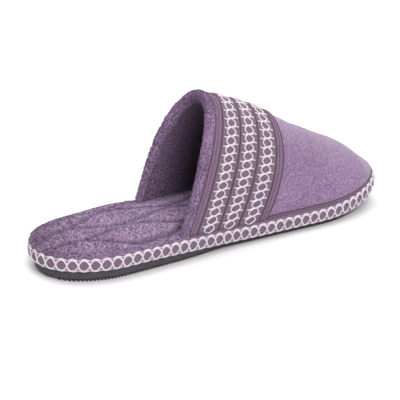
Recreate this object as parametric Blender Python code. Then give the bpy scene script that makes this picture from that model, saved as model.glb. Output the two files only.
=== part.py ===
"""Scuff slipper, left foot: a backless terry house shoe with a woven braid edge.

Metres, +Z up, +X towards the toe, +Y towards the outer side of the foot.
The origin lies on the floor under the middle of the heel seat.
"""

import math

import bmesh
import bpy

MM = 0.001

# Overall sizes
LENGTH = 266 * MM
BALL_WIDTH = 83 * MM
HEEL_SEAT = 44 * MM
HEEL_RUN_INNER = 47 * MM
HEEL_RUN_OUTER = 38 * MM
TOE_RUN = 67 * MM
END_SQUARENESS = 2.15
INSTEP_HEIGHT = 80 * MM

# Outsole
SOLE_HEEL = 8.0 * MM
SOLE_FOREPART = 4.2 * MM
TOE_SPRING = 9.0 * MM
SOLE_INSET = 3.6 * MM
TREAD_HEIGHT = 1.8 * MM
TREAD_STEP = 0.8 * MM
TREAD_LEDGE = 0.2 * MM
WAIST_LIFT = 1.0 * MM

# Edge braid round the footbed
BRAID_HEIGHT = 9.6 * MM
BRAID_THICKNESS = 3.0 * MM
BRAID_TUCK = 1.3 * MM

# Gap between two pieces that lie side by side
CLEARANCE = 0.3 * MM

# Upper
WALL = 3.0 * MM

# Collar, measured from the heel end at each foot of the opening and at its top
COLLAR_INNER_FOOT = 84 * MM
COLLAR_OUTER_FOOT = 91 * MM
COLLAR_TOP = 119.5 * MM
GIRTH_RADIUS = 48 * MM

# Trims across the instep, in the order in which they follow the collar. A strip's edge is a
# share of its thickness, and its shoulder a share of its width.
CUFF_WIDTH = 6.6 * MM
CUFF_THICKNESS = 7.0 * MM
CUFF_PROUD = 2.0 * MM
COLLAR_TAPE_WIDTH = 4.6 * MM
TAPE_THICKNESS = 1.2 * MM
RIBBON_WIDTH = 12.9 * MM
RIBBON_THICKNESS = 1.6 * MM
RIBBON_COUNT = 3
FRONT_TAPE_WIDTH = 5.2 * MM
STRIP_EDGE = 0.6
STRIP_SHOULDER = 0.2

# Footbed
FOOTBED_RIM = 8.0 * MM
FOOTBED_CROWN = 13.6 * MM
FOOTBED_ROLL = 20 * MM

# Outline of the shoe from above, as shares of LENGTH and of BALL_WIDTH
PLAN_COLUMNS = ("along", "inner", "outer")
PLAN = (
    (0.00, 0.380, 0.355),
    (0.15, 0.415, 0.375),
    (0.31, 0.424, 0.410),
    (0.51, 0.412, 0.465),
    (0.72, 0.445, 0.530),
    (0.88, 0.470, 0.505),
    (1.00, 0.500, 0.480),
)

# The upper over the foot: height as a share of INSTEP_HEIGHT, and how square each arch is
CREST_COLUMNS = ("along", "height", "roundness")
CREST = (
    (0.31, 1.08, 2.15),
    (0.47, 1.00, 1.97),
    (0.59, 0.86, 1.86),
    (0.71, 0.66, 1.80),
    (0.82, 0.48, 1.76),
    (0.92, 0.32, 1.76),
    (1.00, 0.09, 1.80),
)

# How far along the shoe each stretch of the sole begins and ends, as shares of LENGTH
WEDGE_START, WEDGE_END = 0.21, 0.59
WAIST_START, WAIST_END = 0.34, 0.56
SPRING_START = 0.76

RUBBER_GREY = (0.062, 0.062, 0.070)
TERRY_LILAC = (0.270, 0.165, 0.345)
VELOUR_LILAC = (0.330, 0.205, 0.430)
TAPE_MAUVE = (0.215, 0.120, 0.215)
BRAID_WHITE = (0.560, 0.470, 0.580)


def clear_scene():
    for old in list(bpy.data.objects):
        bpy.data.objects.remove(old)


def smooth_step(value):
    value = min(max(value, 0.0), 1.0)
    return value * value * (3 - 2 * value)


def table_value(table, columns, name, along):
    """A column of a table at a share of the length, on a smooth curve through its rows."""
    column = columns.index(name)
    last = len(table) - 1
    at = min(max(along, table[0][0]), table[last][0])
    row = next(i for i in range(last) if at <= table[i + 1][0])

    def slope(i):
        before, after = max(i - 1, 0), min(i + 1, last)
        rise = table[after][column] - table[before][column]
        return rise / (table[after][0] - table[before][0])

    step = table[row + 1][0] - table[row][0]
    t = (at - table[row][0]) / step
    start, end = table[row][column], table[row + 1][column]
    return (
        start * (1 + 2 * t) * (1 - t) ** 2
        + end * t * t * (3 - 2 * t)
        + step * slope(row) * t * (1 - t) ** 2
        - step * slope(row + 1) * t * t * (1 - t)
    )


def end_rounding(back, side, inset):
    """Share of the width that is left near the heel and toe ends, back from the heel end."""
    heel_run = HEEL_RUN_INNER if side < 0 else HEEL_RUN_OUTER
    into_heel = (heel_run - back) / (heel_run - inset)
    into_toe = (back - (LENGTH - TOE_RUN)) / (TOE_RUN - inset)
    into = min(max(into_heel, into_toe, 0.0), 1.0)
    return (1 - into**END_SQUARENESS) ** (1 / END_SQUARENESS)


def half_width(back, side, inset):
    """Half width on the inner (-1) or outer (+1) side of a line set in from the outline."""
    name = "inner" if side < 0 else "outer"
    full = table_value(PLAN, PLAN_COLUMNS, name, back / LENGTH) * BALL_WIDTH
    return (full - inset) * end_rounding(back, side, inset)


def to_x(back):
    return back - HEEL_SEAT


def spring(back):
    start = SPRING_START * LENGTH
    return TOE_SPRING * (max(back - start, 0.0) / (LENGTH - start)) ** 2


def sole_top(back):
    """Height of the outsole's top face, which everything above stands on."""
    run = (back / LENGTH - WEDGE_START) / (WEDGE_END - WEDGE_START)
    thickness = SOLE_HEEL + (SOLE_FOREPART - SOLE_HEEL) * smooth_step(run)
    return thickness + spring(back)


def sole_bottom(back):
    share = back / LENGTH
    middle = (share - WAIST_START) / (WAIST_END - WAIST_START)
    arch = math.sin(math.pi * min(max(middle, 0.0), 1.0)) ** 2
    return WAIST_LIFT * arch + spring(back)


def stations(first, last, count):
    """Distances from the heel end, closer together where the ends round off."""
    return [
        first + (last - first) * (1 - math.cos(math.pi * i / count)) / 2
        for i in range(count + 1)
    ]


def outline(inset, count):
    """Closed loop (distance from the heel end, y) of the outline set in, inner side first."""
    backs = stations(inset, LENGTH - inset, count)
    inner = [(b, -half_width(b, -1, inset)) for b in backs]
    outer = [(b, half_width(b, 1, inset)) for b in reversed(backs[1:-1])]
    return inner + outer


def new_object(name, bm, material, smooth_angle=40):
    bmesh.ops.remove_doubles(bm, verts=bm.verts, dist=0.001 * MM)
    bmesh.ops.dissolve_degenerate(bm, edges=bm.edges, dist=0.001 * MM)
    bmesh.ops.triangulate(bm, faces=[f for f in bm.faces if len(f.verts) > 4])
    bmesh.ops.recalc_face_normals(bm, faces=bm.faces)
    mesh = bpy.data.meshes.new(name)
    bm.to_mesh(mesh)
    bm.free()
    mesh.materials.append(material)
    mesh.shade_smooth()
    mesh.set_sharp_from_angle(angle=math.radians(smooth_angle))
    made = bpy.data.objects.new(name, mesh)
    bpy.context.scene.collection.objects.link(made)
    return made


def finish_material(name, colour, roughness, sheen=0.0):
    material = bpy.data.materials.new(name)
    material.use_nodes = True
    shader = material.node_tree.nodes["Principled BSDF"]
    shader.inputs["Base Color"].default_value = (*colour, 1)
    shader.inputs["Roughness"].default_value = roughness
    shader.inputs["Sheen Weight"].default_value = sheen
    return material


def bridge(bm, first, second):
    """Quads between two closed loops of as many points."""
    count = len(first)
    for i in range(count):
        j = (i + 1) % count
        corners = (first[i], first[j], second[j], second[i])
        if len(set(corners)) > 2:
            bm.faces.new(corners)


def join_loops(bm, loops):
    """A skin over closed loops of points, joined in order and open at both ends."""
    rings = [[bm.verts.new(p) for p in loop] for loop in loops]
    for first, second in zip(rings, rings[1:]):
        bridge(bm, first, second)
    return rings


def fill_across(bm, ring):
    """Fills a ring from outline() with strips that run across the shoe."""
    half = len(ring) // 2
    for i in range(half):
        a, b = ring[i], ring[i + 1]
        c, d = ring[-i - 1], ring[-i] if i else ring[0]
        corners = []
        for vert in (a, b, c, d):
            if vert not in corners:
                corners.append(vert)
        if len(corners) > 2:
            bm.faces.new(corners)


# Outsole

SOLE_STATIONS = 44


def make_outsole(material):
    bm = bmesh.new()
    tread = (
        (SOLE_INSET + 2 * TREAD_STEP, 0.0),
        (SOLE_INSET + TREAD_STEP, TREAD_HEIGHT),
        (SOLE_INSET, TREAD_HEIGHT + TREAD_LEDGE),
    )
    loops = []
    for inset, rise in tread:
        points = outline(inset, SOLE_STATIONS)
        loops.append([(to_x(b), y, sole_bottom(b) + rise) for b, y in points])
    points = outline(SOLE_INSET, SOLE_STATIONS)
    loops.append([(to_x(b), y, sole_top(b)) for b, y in points])
    rings = join_loops(bm, loops)
    fill_across(bm, rings[0])
    fill_across(bm, rings[-1])
    return new_object("outsole", bm, material)


# Edge braid: a ring with a rounded outer face, tucked in by shares of BRAID_TUCK

BRAID_STATIONS = 44
BRAID_COLUMNS = ("tuck", "height")
BRAID_SECTION = (
    (1.00, 0.00),
    (0.35, 0.14),
    (0.00, 0.42),
    (0.10, 0.70),
    (0.60, 0.92),
    (1.25, 1.00),
)


def make_edge_braid(material):
    bm = bmesh.new()
    section = [(tuck * BRAID_TUCK, height * BRAID_HEIGHT) for tuck, height in BRAID_SECTION]
    section += [(BRAID_THICKNESS, BRAID_HEIGHT), (BRAID_THICKNESS, 0.0)]
    loops = []
    for inset, height in section:
        points = outline(inset, BRAID_STATIONS)
        loops.append([(to_x(b), y, sole_top(b) + CLEARANCE + height) for b, y in points])
    rings = join_loops(bm, loops)
    bridge(bm, rings[-1], rings[0])
    return new_object("edge_braid", bm, material)


# Upper's own function: everything over the foot is placed with it

UPPER_INSET = BRAID_THICKNESS + CLEARANCE
DOME_LIFT = BRAID_HEIGHT + 2 * CLEARANCE


def collar_line(angle):
    """Distance from the heel end to the collar at an angle from the inner foot (0) over the top."""
    foot = COLLAR_INNER_FOOT if angle < math.pi / 2 else COLLAR_OUTER_FOOT
    return foot + (COLLAR_TOP - foot) * math.sin(angle)


def collar_slant(angle):
    """How much longer a width across the collar's trims is when it is measured along the shoe."""
    foot = COLLAR_INNER_FOOT if angle < math.pi / 2 else COLLAR_OUTER_FOOT
    return math.hypot(1, (COLLAR_TOP - foot) * math.cos(angle) / GIRTH_RADIUS)


def dome_base(back):
    return sole_top(back) + DOME_LIFT


def arch_point(back, angle, inset):
    """A point of the foot's arch over the shoe, set in by inset from the upper's outer face."""
    side = -1 if angle < math.pi / 2 else 1
    width = half_width(back, side, UPPER_INSET + inset)
    round_power = table_value(CREST, CREST_COLUMNS, "roundness", back / LENGTH)
    crest = table_value(CREST, CREST_COLUMNS, "height", back / LENGTH) * INSTEP_HEIGHT
    height = (crest - inset) * end_rounding(max(back, LENGTH / 2), side, UPPER_INSET + inset)
    power = 2 / round_power
    y = side * width * abs(math.cos(angle)) ** power
    return (to_x(back), y, dome_base(back) + height * math.sin(angle) ** power)


def on_upper(after_collar, angle, proud):
    """A point at a distance in front of the collar line, standing proud of the upper's outer face."""
    back = collar_line(angle) + after_collar * collar_slant(angle)
    return arch_point(back, angle, -proud)


def arch_angles(count):
    return [math.pi * i / count for i in range(count + 1)]


UPPER_ARCH = 36
UPPER_RUN = 30
UPPER_START = CUFF_WIDTH + CLEARANCE


def foot_below(point):
    """The point on the outsole under a point of the arch's base."""
    return (point[0], point[1], sole_top(point[0] + HEEL_SEAT) + CLEARANCE)


def wall_rows(inset):
    """Rows of the upper's wall from the collar to the toe, each from floor to floor over the foot."""
    end = LENGTH - UPPER_INSET - inset
    rows = []
    for i in range(UPPER_RUN + 1):
        share = math.sin(0.5 * math.pi * i / UPPER_RUN)
        row = []
        for angle in arch_angles(UPPER_ARCH):
            start = collar_line(angle) + UPPER_START * collar_slant(angle)
            back = start + (end - start) * share
            row.append(arch_point(back, angle, inset))
        rows.append([foot_below(row[0]), *row, foot_below(row[-1])])
    return rows


def make_upper(material):
    bm = bmesh.new()
    outer = [[bm.verts.new(p) for p in row] for row in wall_rows(0.0)]
    inner = [[bm.verts.new(p) for p in row] for row in wall_rows(WALL)]
    last = len(outer[0]) - 1
    for grid in (outer, inner):
        for near, far in zip(grid, grid[1:]):
            for j in range(last):
                bm.faces.new((near[j], near[j + 1], far[j + 1], far[j]))
    for j in range(last):
        bm.faces.new((outer[0][j], outer[0][j + 1], inner[0][j + 1], inner[0][j]))
    for j in (0, last):
        for i in range(UPPER_RUN):
            bm.faces.new((outer[i][j], outer[i + 1][j], inner[i + 1][j], inner[i][j]))
    return new_object("upper", bm, material)


def sweep_over_foot(name, section, material, steps):
    """A strip over the foot: section is a closed loop of (distance after the collar, proud)."""
    bm = bmesh.new()
    loops = []
    for angle in arch_angles(steps):
        loops.append([on_upper(after, angle, proud) for after, proud in section])
    rings = join_loops(bm, loops)
    for ring in (rings[0], rings[-1]):
        bm.faces.new(ring)
    return new_object(name, bm, material)


TRIM_STEPS = 40
CUFF_SIDES = 14


def make_cuff(material):
    """The padded terry roll that binds the collar."""
    middle = CUFF_PROUD - CUFF_THICKNESS / 2
    section = []
    for i in range(CUFF_SIDES):
        turn = 2 * math.pi * i / CUFF_SIDES
        after = CUFF_WIDTH / 2 * (1 + math.cos(turn))
        section.append((after, middle + CUFF_THICKNESS / 2 * math.sin(turn)))
    return sweep_over_foot("collar_cuff", section, material, TRIM_STEPS)


def strip_section(start, width, thickness):
    """A flat strip, thinner at its two edges, with a shoulder inside each of them."""
    low, high = CLEARANCE, CLEARANCE + thickness
    edge = CLEARANCE + STRIP_EDGE * thickness
    shoulder = STRIP_SHOULDER * width
    return [
        (start, low),
        (start, edge),
        (start + shoulder, high),
        (start + width - shoulder, high),
        (start + width, edge),
        (start + width, low),
    ]


def make_instep_trims(tape, ribbon):
    start = UPPER_START
    section = strip_section(start, COLLAR_TAPE_WIDTH, TAPE_THICKNESS)
    sweep_over_foot("collar_tape", section, tape, TRIM_STEPS)
    start += COLLAR_TAPE_WIDTH + CLEARANCE
    for i in range(RIBBON_COUNT):
        section = strip_section(start, RIBBON_WIDTH, RIBBON_THICKNESS)
        sweep_over_foot(f"instep_ribbon_{i + 1}", section, ribbon, TRIM_STEPS)
        start += RIBBON_WIDTH + CLEARANCE
    section = strip_section(start, FRONT_TAPE_WIDTH, TAPE_THICKNESS)
    sweep_over_foot("front_tape", section, tape, TRIM_STEPS)


# Footbed: a quilted cushion that fills the braid's ring, narrower where the upper's wall stands

FOOTBED_STATIONS = 46
FOOTBED_RINGS = 5


def footbed_inset(back, side):
    """How far the footbed's edge lies in from the outline: further where the upper's wall stands."""
    foot = COLLAR_INNER_FOOT if side < 0 else COLLAR_OUTER_FOOT
    return UPPER_INSET + (WALL + CLEARANCE) * smooth_step(1 + (back - foot) / CUFF_WIDTH)


def footbed_height(back, side, depth):
    """Height above the outsole at a depth in from the outline, pressed down beside the cuff."""
    foot = COLLAR_INNER_FOOT if side < 0 else COLLAR_OUTER_FOOT
    pressed = 1 + (back - foot) / (2 * CUFF_WIDTH)
    edge = UPPER_INSET + (CUFF_THICKNESS - CUFF_PROUD) * smooth_step(pressed)
    into = min(max(depth - edge, 0.0) / FOOTBED_ROLL, 1.0)
    return FOOTBED_RIM + (FOOTBED_CROWN - FOOTBED_RIM) * math.sin(0.5 * math.pi * into)


def make_footbed(material):
    bm = bmesh.new()
    end = LENGTH - BRAID_THICKNESS - WALL - 2 * CLEARANCE
    backs = stations(BRAID_THICKNESS + CLEARANCE, end, FOOTBED_STATIONS)
    rows = []
    shares = [math.sin(0.5 * math.pi * i / FOOTBED_RINGS) for i in range(FOOTBED_RINGS + 1)]
    for back in backs:
        row = []
        for side in (-1, 1):
            edge = half_width(back, side, footbed_inset(back, side))
            full = half_width(back, side, 0.0)
            across = [edge * share for share in shares]
            across = across[:0:-1] if side < 0 else across
            for y in across:
                depth = min(full - y, back, LENGTH - back)
                height = CLEARANCE + footbed_height(back, side, depth)
                row.append((to_x(back), side * y, sole_top(back) + height))
        rows.append(row)
    top = [[bm.verts.new(point) for point in row] for row in rows]
    low = [[bm.verts.new(foot_below(point)) for point in (row[0], row[-1])] for row in rows]
    for i in range(len(top) - 1):
        for j in range(len(top[0]) - 1):
            bm.faces.new((top[i][j], top[i][j + 1], top[i + 1][j + 1], top[i + 1][j]))
        bm.faces.new((low[i][0], low[i][1], low[i + 1][1], low[i + 1][0]))
        bm.faces.new((low[i][0], low[i + 1][0], top[i + 1][0], top[i][0]))
        bm.faces.new((low[i][1], low[i + 1][1], top[i + 1][-1], top[i][-1]))
    return new_object("footbed", bm, material)


def main():
    clear_scene()
    grey = finish_material("sole_grey", RUBBER_GREY, 0.75)
    terry = finish_material("terry_lilac", TERRY_LILAC, 0.95, sheen=0.4)
    velour = finish_material("velour_lilac", VELOUR_LILAC, 0.85, sheen=0.6)
    tape = finish_material("tape_mauve", TAPE_MAUVE, 0.8)
    braid = finish_material("braid_white", BRAID_WHITE, 0.7)
    make_outsole(grey)
    make_edge_braid(braid)
    make_footbed(terry)
    make_upper(velour)
    make_cuff(terry)
    make_instep_trims(tape, braid)


main()
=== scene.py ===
"""Looks of the left-foot scuff slipper: terry, velour, tapes, woven ribbons and a braided edge.

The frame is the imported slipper: metres, +X towards the toe, +Y the outer side, floor at 0.
"""

import math
import random

import bmesh
import bpy
from mathutils import Matrix, Vector, noise


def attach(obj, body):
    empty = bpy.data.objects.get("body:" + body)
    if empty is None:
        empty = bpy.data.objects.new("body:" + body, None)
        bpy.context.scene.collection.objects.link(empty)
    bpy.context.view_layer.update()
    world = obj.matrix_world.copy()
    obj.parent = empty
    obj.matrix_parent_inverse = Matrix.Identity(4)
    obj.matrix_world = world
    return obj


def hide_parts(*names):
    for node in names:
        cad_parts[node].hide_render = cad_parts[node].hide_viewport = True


MM = 0.001

# Sizes of the slipper, as its solids have them
LENGTH = 266 * MM
BALL_WIDTH = 83 * MM
HEEL_SEAT = 44 * MM
HEEL_RUN_INNER = 47 * MM
HEEL_RUN_OUTER = 38 * MM
TOE_RUN = 67 * MM
END_SQUARENESS = 2.15
INSTEP_HEIGHT = 80 * MM
SOLE_HEEL = 8.0 * MM
SOLE_FOREPART = 4.2 * MM
TOE_SPRING = 9.0 * MM
SOLE_INSET = 3.6 * MM
WAIST_LIFT = 1.0 * MM
BRAID_HEIGHT = 9.6 * MM
BRAID_THICKNESS = 3.0 * MM
BRAID_TUCK = 1.3 * MM
CLEARANCE = 0.3 * MM
WALL = 3.0 * MM
COLLAR_INNER_FOOT = 84 * MM
COLLAR_OUTER_FOOT = 91 * MM
COLLAR_TOP = 119.5 * MM
GIRTH_RADIUS = 48 * MM
CUFF_WIDTH = 6.6 * MM
CUFF_THICKNESS = 7.0 * MM
CUFF_PROUD = 2.0 * MM
COLLAR_TAPE_WIDTH = 4.6 * MM
TAPE_THICKNESS = 1.2 * MM
RIBBON_WIDTH = 12.9 * MM
RIBBON_THICKNESS = 1.6 * MM
RIBBON_COUNT = 3
FRONT_TAPE_WIDTH = 5.2 * MM
UPPER_INSET = BRAID_THICKNESS + CLEARANCE
UPPER_START = CUFF_WIDTH + CLEARANCE

# Half widths of the outline, as shares of the ball's width, from the heel end to the toe
PLAN_COLUMNS = ("along", "inner", "outer")
PLAN = (
    (0.00, 0.380, 0.355),
    (0.15, 0.415, 0.375),
    (0.31, 0.424, 0.410),
    (0.51, 0.412, 0.465),
    (0.72, 0.445, 0.530),
    (0.88, 0.470, 0.505),
    (1.00, 0.500, 0.480),
)
# Height of the arch, as a share of the instep's, and how round it is
CREST_COLUMNS = ("along", "height", "roundness")
CREST = (
    (0.31, 1.08, 2.15),
    (0.47, 1.00, 1.97),
    (0.59, 0.86, 1.86),
    (0.71, 0.66, 1.80),
    (0.82, 0.48, 1.76),
    (0.92, 0.32, 1.76),
    (1.00, 0.09, 1.80),
)
# How far the band's face lies in from its fullest place
BAND_COLUMNS = ("height", "tuck")
BAND = ((0.00, 1.00), (0.14, 0.35), (0.42, 0.00), (0.70, 0.10), (0.92, 0.60), (1.00, 1.25))

WEDGE_START, WEDGE_END = 0.21, 0.59
WAIST_START, WAIST_END = 0.34, 0.56
SPRING_START = 0.76

# Cushion of the footbed, a little fuller than its solid and bulging over the band
FOOTBED_RIM = 9.4 * MM
BULGE_INSET = 0.6 * MM
FOOTBED_CROWN = 14.6 * MM
FOOTBED_ROLL = 15 * MM
UNDER_CUFF = 1 * MM
FOOTBED_FIRST = BULGE_INSET
FOOTBED_LAST = LENGTH - UPPER_INSET - WALL
FOOTBED_ROWS, FOOTBED_HALF = 360, 56
PILE_GRAIN = 1.3 * MM
PILE_RISE = 0.42 * MM
BASE_GAP = 0.1 * MM

# Braid: the ovals of its white threads and the small scallops above and below
EDGE_OVAL_PITCH = 7.0 * MM
EDGE_OVAL_REACH = 3.6 * MM
EDGE_OVAL_LEVEL = 4.2 * MM
EDGE_OVAL_SQUARENESS = 0.65
EDGE_TOE_RISE = 1.3 * MM
EDGE_THREAD = 0.32 * MM
EDGE_THREAD_GAP = 0.25 * MM
EDGE_THREAD_PROUD = 0.25 * MM
EDGE_SCALLOP = 0.26 * MM
EDGE_SCALLOP_SWING = 1.1 * MM
EDGE_SCALLOP_MIDDLE = 0.4
EDGE_SCALLOP_PROUD = 0.3 * MM
UPPER_SCALLOP, LOWER_SCALLOP = 0.81, 0.06
TOE_RISE_START, TOE_RISE_RUN = 0.70, 0.22
CROSSING = 0.35 * MM
BAND_CORDS = 7
BAND_CORD = 0.14 * MM

# Ribbons: the ovals of their white threads and the short arms beside them
RIBBON_OVAL_PITCH = 5.6 * MM
RIBBON_OVAL_REACH = 3.1 * MM
RIBBON_ARM_REACH = 5.0 * MM
RIBBON_THREAD = 0.43 * MM
RIBBON_THREAD_PROUD = 0.2 * MM
RIBBON_OVAL_PLACE = 0.47
RIBBON_OVAL_SQUARENESS = 0.75
RIBBON_ARM_START = 0.8 * MM
RIBBON_ARM_PROUD = 0.25 * MM
RIBBON_ARM_BEND = (0.0, 0.10, 0.28, 0.36, 0.20)
STRIP_TURNED, STRIP_FULL = 0.55, 0.45
STRIP_CORD = 0.12 * MM

# Quilting of the footbed
QUILT_LINES = 5
QUILT_SPACING = 12.5 * MM
QUILT_WAVE = 82 * MM
QUILT_SWING = 4.6 * MM
QUILT_DEPTH = 2.8 * MM
QUILT_GROOVE = 1.3 * MM
QUILT_FADE = 4 * MM
QUILT_AT_HEEL, QUILT_WIDENING = 0.55, 0.45
QUILT_WIDENING_RUN = 60 * MM
# Darkening along the quilting lines: the packed pile of the seams and painted shade in their grooves,
# and a broad painted shade beside them
SEWN_PILE_AND_PAINTED_SHADE, BESIDE_PAINTED_SHADE = 0.85, 0.10
SEWN_BREAK, SEWN_BREAK_SIZE = 0.8, 2.2 * MM
COVER_MARGIN = 4 * MM
COVER_PINNED = 0.9 * MM
PUFF_ROWS, PUFF_HALF = 150, 22
PUFF_FRAMES = 20
PUFF_LIMIT = 3.2 * MM

# Loops of pile that stand up from the terry, and the painted shade that darkens the lining inside the
# shoe
FOOTBED_TUFTS, FOOTBED_TUFT_HEIGHT = 11000, 0.85 * MM
FOOTBED_SHOWN = 0.62
CUFF_TUFTS, CUFF_TUFT_HEIGHT = 8000, 0.9 * MM
TUFT_YARN = 0.13 * MM
LINING_SHADE_FADE = 75 * MM
LINING_PAINTED_SHADE = 0.92

# Padding of the cuff, whose feet sink into the cushion
CUFF_SINK = 1.2 * MM
CUFF_AT_FOOT, CUFF_FILLING, CUFF_FILLING_RUN = 0.5, 0.5, 0.7
CUFF_GRAIN, CUFF_GRAIN_RISE = 1.4 * MM, 0.16
CUFF_LUMP, CUFF_LUMP_RISE = 11 * MM, 0.05
CUFF_GIRTH = 7 * MM

# Creases of the vamp, in distances from the heel end, and how it bulges over the band at the toe
BALL_BREAK, BALL_BREAK_SKEW = 196 * MM, 5 * MM
BALL_BREAK_WIDTH, BALL_BREAK_DEPTH = 7 * MM, 0.5 * MM
TAPE_PULL, TAPE_PULL_WIDTH, TAPE_PULL_RISE = 176 * MM, 9 * MM, 0.4 * MM
WAVER_SIZE, WAVER_RISE = 26 * MM, 0.5 * MM
NAP_SIZE, NAP_RISE = 1.6 * MM, 0.10 * MM
TOE_SWELL = 1.8 * MM
TOE_SWELL_START, TOE_SWELL_RUN = 190 * MM, 60 * MM
TOE_SWELL_ROUND = 2.2
LINING_GRAIN, LINING_RISE = 1.4 * MM, 0.45 * MM

# Seam of the vamp on the band: (lift, how far out, radius) of its cord and of the dark line above it, a
# painted shadow where the velour meets the cord
SEAM_CORD = (0.3 * MM, 0.2 * MM, 0.8 * MM)
SEAM_SHADOW_LINE = (1.35 * MM, 0.05 * MM, 0.42 * MM)
SEAM_SET_BACK = 0.5 * MM

# Ribs of the sole
RIB_PITCH = 2.2 * MM
RIB_WIDTH = 1.3 * MM
RIB_DEPTH = 1.0 * MM
RIB_END_GAP = 6 * MM
RIB_SET_IN = 0.8 * MM
RIB_ROOT = 0.4 * MM

# Speckle of the pile: how much its broad patches lighten and darken it
PATCH_CONTRAST, PATCH_SHIFT = 0.55, -0.27

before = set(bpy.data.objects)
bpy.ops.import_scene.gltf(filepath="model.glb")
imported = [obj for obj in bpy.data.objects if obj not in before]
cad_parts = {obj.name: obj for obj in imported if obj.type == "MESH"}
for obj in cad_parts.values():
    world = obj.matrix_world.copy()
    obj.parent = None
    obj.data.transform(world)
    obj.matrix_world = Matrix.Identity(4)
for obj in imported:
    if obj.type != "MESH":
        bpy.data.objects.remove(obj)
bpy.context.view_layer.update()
random.seed(7)


# Shape of the slipper


def smooth_step(value):
    value = min(max(value, 0.0), 1.0)
    return value * value * (3 - 2 * value)


def table_value(table, columns, name, along):
    """A column of a table at a share of its first column, on a smooth curve through its rows."""
    column = columns.index(name)
    last = len(table) - 1
    at = min(max(along, table[0][0]), table[last][0])
    row = next(i for i in range(last) if at <= table[i + 1][0])

    def slope(i):
        before, after = max(i - 1, 0), min(i + 1, last)
        rise = table[after][column] - table[before][column]
        return rise / (table[after][0] - table[before][0])

    step = table[row + 1][0] - table[row][0]
    t = (at - table[row][0]) / step
    start, end = table[row][column], table[row + 1][column]
    return (
        start * (1 + 2 * t) * (1 - t) ** 2
        + end * t * t * (3 - 2 * t)
        + step * slope(row) * t * (1 - t) ** 2
        - step * slope(row + 1) * t * t * (1 - t)
    )


def end_rounding(back, side, inset):
    """Share of the full width that is left at a place near the heel or the toe end."""
    heel_run = HEEL_RUN_INNER if side < 0 else HEEL_RUN_OUTER
    into_heel = (heel_run - back) / (heel_run - inset)
    into_toe = (back - (LENGTH - TOE_RUN)) / (TOE_RUN - inset)
    into = min(max(into_heel, into_toe, 0.0), 1.0)
    return (1 - into**END_SQUARENESS) ** (1 / END_SQUARENESS)


def half_width(back, side, inset):
    name = "inner" if side < 0 else "outer"
    full = table_value(PLAN, PLAN_COLUMNS, name, back / LENGTH) * BALL_WIDTH
    return (full - inset) * end_rounding(back, side, inset)


def spring(back):
    start = SPRING_START * LENGTH
    return TOE_SPRING * (max(back - start, 0.0) / (LENGTH - start)) ** 2


def sole_top(back):
    run = (back / LENGTH - WEDGE_START) / (WEDGE_END - WEDGE_START)
    return SOLE_HEEL + (SOLE_FOREPART - SOLE_HEEL) * smooth_step(run) + spring(back)


def sole_bottom(back):
    middle = (back / LENGTH - WAIST_START) / (WAIST_END - WAIST_START)
    arch = math.sin(math.pi * min(max(middle, 0.0), 1.0)) ** 2
    return WAIST_LIFT * arch + spring(back)


def stations(first, last, count):
    return [first + (last - first) * (1 - math.cos(math.pi * i / count)) / 2 for i in range(count + 1)]


def outline(inset, count):
    """Closed loop (distance from the heel end, y) of the outline set in, inner side first."""
    backs = stations(inset, LENGTH - inset, count)
    inner = [(b, -half_width(b, -1, inset)) for b in backs]
    outer = [(b, half_width(b, 1, inset)) for b in reversed(backs[1:-1])]
    return inner + outer


def collar_foot(angle):
    return COLLAR_INNER_FOOT if angle < math.pi / 2 else COLLAR_OUTER_FOOT


def collar_line(angle):
    foot = collar_foot(angle)
    return foot + (COLLAR_TOP - foot) * math.sin(angle)


def collar_slant(angle):
    """How much longer a distance along the shoe is than the same distance straight off the collar."""
    return math.hypot(1, (COLLAR_TOP - collar_foot(angle)) * math.cos(angle) / GIRTH_RADIUS)


def arch_point(back, angle, inset):
    """A point of the foot's arch over the shoe, set in by inset from the upper's outer face."""
    side = -1 if angle < math.pi / 2 else 1
    width = half_width(back, side, UPPER_INSET + inset)
    round_power = table_value(CREST, CREST_COLUMNS, "roundness", back / LENGTH)
    crest = table_value(CREST, CREST_COLUMNS, "height", back / LENGTH) * INSTEP_HEIGHT
    height = (crest - inset) * end_rounding(max(back, LENGTH / 2), side, UPPER_INSET + inset)
    power = 2 / round_power
    y = side * width * abs(math.cos(angle)) ** power
    base = sole_top(back) + BRAID_HEIGHT + 2 * CLEARANCE
    return Vector((back - HEEL_SEAT, y, base + height * abs(math.sin(angle)) ** power))


def on_upper(after_collar, angle, proud):
    """A point at a distance in front of the collar line, proud of the upper's outer face."""
    back = collar_line(angle) + after_collar * collar_slant(angle)
    return arch_point(back, angle, -proud)


def footbed_inset(back, side):
    """The cushion bulges over the band round the heel, and lies inside the wall under the vamp."""
    foot = COLLAR_INNER_FOOT if side < 0 else COLLAR_OUTER_FOOT
    inside = UPPER_INSET + WALL + CLEARANCE
    under_cuff = (back - foot + UNDER_CUFF) / (CUFF_WIDTH + UNDER_CUFF)
    return BULGE_INSET + (inside - BULGE_INSET) * smooth_step(under_cuff)


def footbed_height(back, side, depth):
    """Height of the cushion over its base: rolled up from the rim, and pressed flat under the cuff."""
    foot = COLLAR_INNER_FOOT if side < 0 else COLLAR_OUTER_FOOT
    pressed = smooth_step(1 + (back - foot) / (2 * CUFF_WIDTH))
    edge = BULGE_INSET + (UPPER_INSET - BULGE_INSET + CUFF_THICKNESS - CUFF_PROUD) * pressed
    into = min(max(depth - edge, 0.0) / FOOTBED_ROLL, 1.0)
    return FOOTBED_RIM + (FOOTBED_CROWN - FOOTBED_RIM) * math.sin(0.5 * math.pi * into)


# Mesh helpers


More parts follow.
